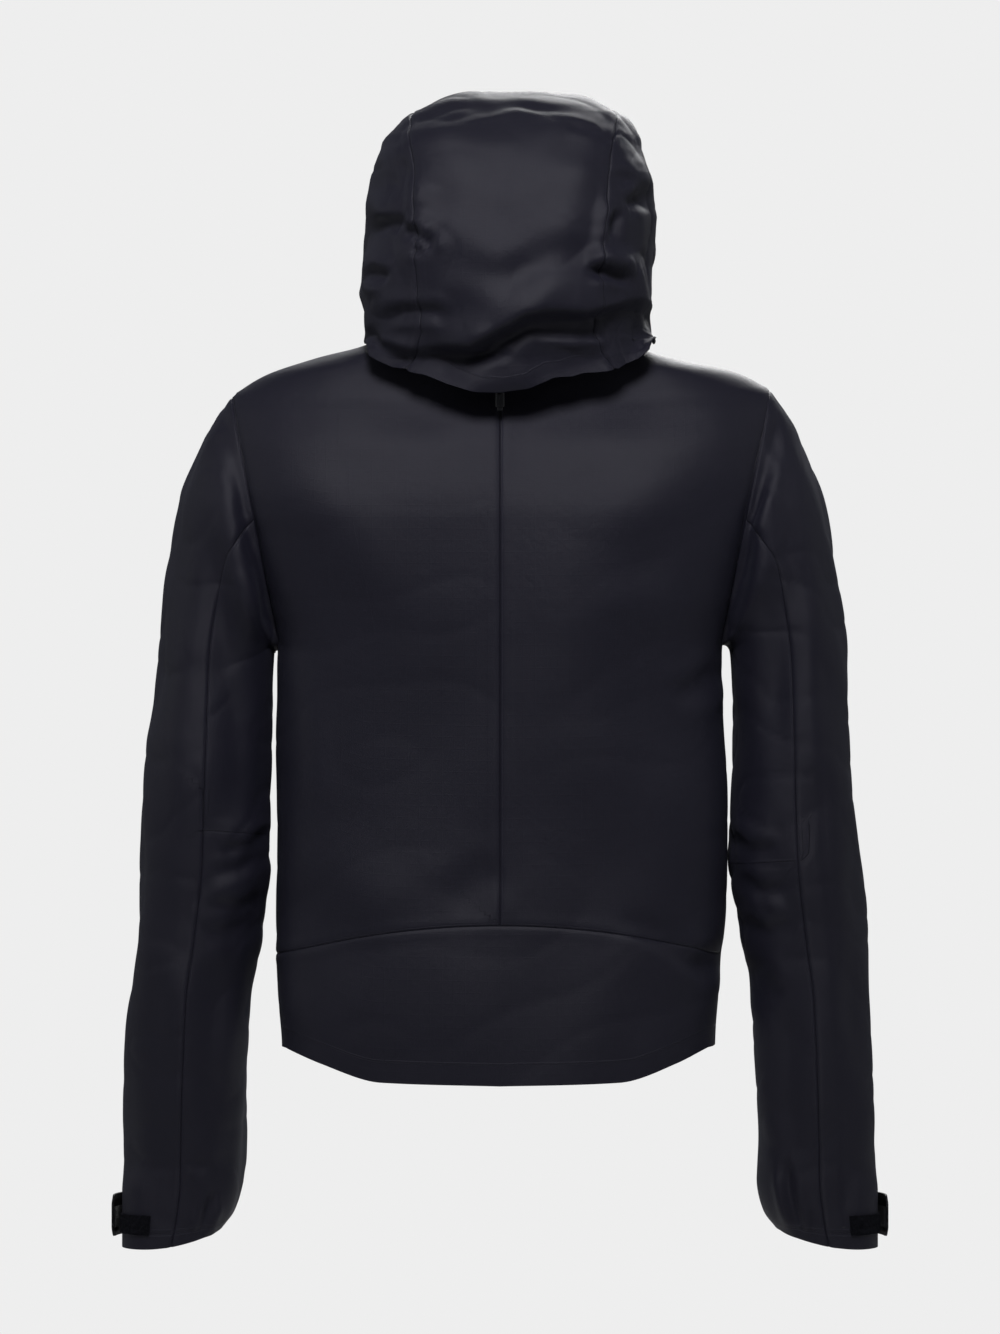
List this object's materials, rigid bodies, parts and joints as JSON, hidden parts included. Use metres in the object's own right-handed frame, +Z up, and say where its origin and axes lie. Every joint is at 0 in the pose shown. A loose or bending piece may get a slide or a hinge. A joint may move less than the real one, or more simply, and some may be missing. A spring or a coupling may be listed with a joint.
{
  "type": "hardshell jacket",
  "caption": "Hooded waterproof shell jacket with a full front zip, zipped hand pockets, shaped sleeves and hook-and-loop cuff tabs, hung by its collar loop.",
  "frame": {"origin": "underside of the hang loop inside the back of the collar, where a hook bears", "axes": "+Z up along the centre back, -Y towards the front, +X towards the wearer's left"},
  "size_m": [0.6836, 0.3237, 1.0174],
  "materials": {
    "shell_fabric": "satin waterproof plain weave",
    "lining_fabric": "matte knit-backed laminate",
    "binding_tape": "matte grosgrain",
    "zip_tape": "coated water-repellent tape",
    "zip_metal": "black enamel",
    "rubber_pull": "moulded matte",
    "lock_plastic": "glossy",
    "hook_and_loop": "fuzzy loop pile",
    "elastic_cord": "braided"
  },
  "bodies": {
    "jacket_body": {"back_panel_left": "shell_fabric", "back_panel_right": "shell_fabric", "back_hem_panel": "shell_fabric", "back_seam_tape": "lining_fabric", "front_panel_left": "shell_fabric", "front_panel_right": "shell_fabric", "collar_left": "shell_fabric", "collar_right": "shell_fabric", "collar_lining": "lining_fabric", "hang_loop": "binding_tape", "hem_channel_back": "lining_fabric", "hem_channel_front_left": "lining_fabric", "hem_channel_front_right": "lining_fabric", "hem_drawcord_left": "elastic_cord", "hem_drawcord_right": "elastic_cord", "hem_cord_lock_left": "lock_plastic", "hem_cord_lock_right": "lock_plastic", "pocket_bag_left": "lining_fabric", "pocket_bag_right": "lining_fabric", "pocket_zip_left": "zip_tape", "pocket_zip_right": "zip_tape", "front_zip_tape_left": "zip_tape", "front_zip_tape_right": "zip_tape", "front_zip_box": "zip_metal", "storm_flap": "lining_fabric", "hood_cord_lock": "lock_plastic"},
    "zip_slider": {"front_zip_slider": "zip_metal"},
    "zip_pull": {"front_zip_pull": "rubber_pull"},
    "hood": {"hood_center_panel": "shell_fabric", "hood_side_panel_left": "shell_fabric", "hood_side_panel_right": "shell_fabric", "hood_brim": "shell_fabric", "hood_edge_binding": "binding_tape"},
    "hood_lock_button": {"hood_cord_lock_button": "lock_plastic"},
    "pocket_slider_left": {"pocket_zip_slider_left": "zip_metal"},
    "pocket_pull_left": {"pocket_zip_pull_left": "rubber_pull"},
    "upper_sleeve_left": {"upper_sleeve_outer_left": "shell_fabric", "upper_sleeve_under_left": "shell_fabric"},
    "forearm_left": {"forearm_outer_left": "shell_fabric", "forearm_under_left": "shell_fabric", "cuff_binding_left": "binding_tape", "cuff_loop_strip_left": "hook_and_loop"},
    "cuff_tab_left": {"cuff_tab_left": "rubber_pull", "cuff_hook_patch_left": "hook_and_loop"},
    "hem_lock_button_left": {"hem_cord_lock_button_left": "lock_plastic"},
    "pocket_slider_right": {"pocket_zip_slider_right": "zip_metal"},
    "pocket_pull_right": {"pocket_zip_pull_right": "rubber_pull"},
    "upper_sleeve_right": {"upper_sleeve_outer_right": "shell_fabric", "upper_sleeve_under_right": "shell_fabric"},
    "forearm_right": {"forearm_outer_right": "shell_fabric", "forearm_under_right": "shell_fabric", "cuff_binding_right": "binding_tape", "cuff_loop_strip_right": "hook_and_loop"},
    "cuff_tab_right": {"cuff_tab_right": "rubber_pull", "cuff_hook_patch_right": "hook_and_loop"},
    "hem_lock_button_right": {"hem_cord_lock_button_right": "lock_plastic"}
  },
  "joints": [
    {"name": "front_zip_slide", "type": "slide", "parent": "jacket_body", "child": "zip_slider", "axis": [0, 0.0599, 0.9982], "range_m": [-0.64, 0]},
    {"name": "front_zip_pull_swing", "type": "hinge", "parent": "zip_slider", "child": "zip_pull", "pos_m": [0, -0.14581, 0.00955], "axis": [-1, 0, 0], "range_deg": [0, 150]},
    {"name": "hood_tip_back", "type": "hinge", "parent": "jacket_body", "child": "hood", "pos_m": [0, 0.066, -0.082], "axis": [-1, 0, 0], "range_deg": [0, 75]},
    {"name": "hood_lock_press", "type": "slide", "parent": "jacket_body", "child": "hood_lock_button", "axis": [0, 0, 1], "range_m": [0, 0.002], "stiffness_N_per_m": 300},
    {"name": "pocket_zip_slide_left", "type": "slide", "parent": "jacket_body", "child": "pocket_slider_left", "axis": [0, 0.0584, 0.9983], "range_m": [-0.128, 0]},
    {"name": "pocket_zip_pull_swing_left", "type": "hinge", "parent": "pocket_slider_left", "child": "pocket_pull_left", "pos_m": [0.10127, -0.16579, -0.39261], "axis": [-0.9811, -0.1933, 0.0113], "range_deg": [0, 150]},
    {"name": "shoulder_swing_left", "type": "hinge", "parent": "jacket_body", "child": "upper_sleeve_left", "pos_m": [0.21375, -0.048, -0.19], "axis": [-0.9819, 0, 0.1894], "range_deg": [0, 90]},
    {"name": "elbow_bend_left", "type": "hinge", "parent": "upper_sleeve_left", "child": "forearm_left", "pos_m": [0.259, -0.05, -0.477], "axis": [-1, 0, 0], "range_deg": [0, 90]},
    {"name": "cuff_tab_open_left", "type": "hinge", "parent": "forearm_left", "child": "cuff_tab_left", "pos_m": [0.29596, -0.10911, -0.802], "axis": [0, 0, -1], "range_deg": [0, 90]},
    {"name": "hem_lock_press_left", "type": "slide", "parent": "jacket_body", "child": "hem_lock_button_left", "axis": [0, 0, -1], "range_m": [0, 0.003], "stiffness_N_per_m": 300},
    {"name": "pocket_zip_slide_right", "type": "slide", "parent": "jacket_body", "child": "pocket_slider_right", "axis": [0, 0.0584, 0.9983], "range_m": [-0.128, 0]},
    {"name": "pocket_zip_pull_swing_right", "type": "hinge", "parent": "pocket_slider_right", "child": "pocket_pull_right", "pos_m": [-0.10127, -0.16579, -0.39261], "axis": [-0.9811, 0.1933, -0.0113], "range_deg": [0, 150]},
    {"name": "shoulder_swing_right", "type": "hinge", "parent": "jacket_body", "child": "upper_sleeve_right", "pos_m": [-0.21375, -0.048, -0.19], "axis": [-0.9819, 0, -0.1894], "range_deg": [0, 90]},
    {"name": "elbow_bend_right", "type": "hinge", "parent": "upper_sleeve_right", "child": "forearm_right", "pos_m": [-0.259, -0.05, -0.477], "axis": [-1, 0, 0], "range_deg": [0, 90]},
    {"name": "cuff_tab_open_right", "type": "hinge", "parent": "forearm_right", "child": "cuff_tab_right", "pos_m": [-0.29596, -0.10911, -0.802], "axis": [0, 0, 1], "range_deg": [0, 90]},
    {"name": "hem_lock_press_right", "type": "slide", "parent": "jacket_body", "child": "hem_lock_button_right", "axis": [0, 0, -1], "range_m": [0, 0.003], "stiffness_N_per_m": 300}
  ]
}
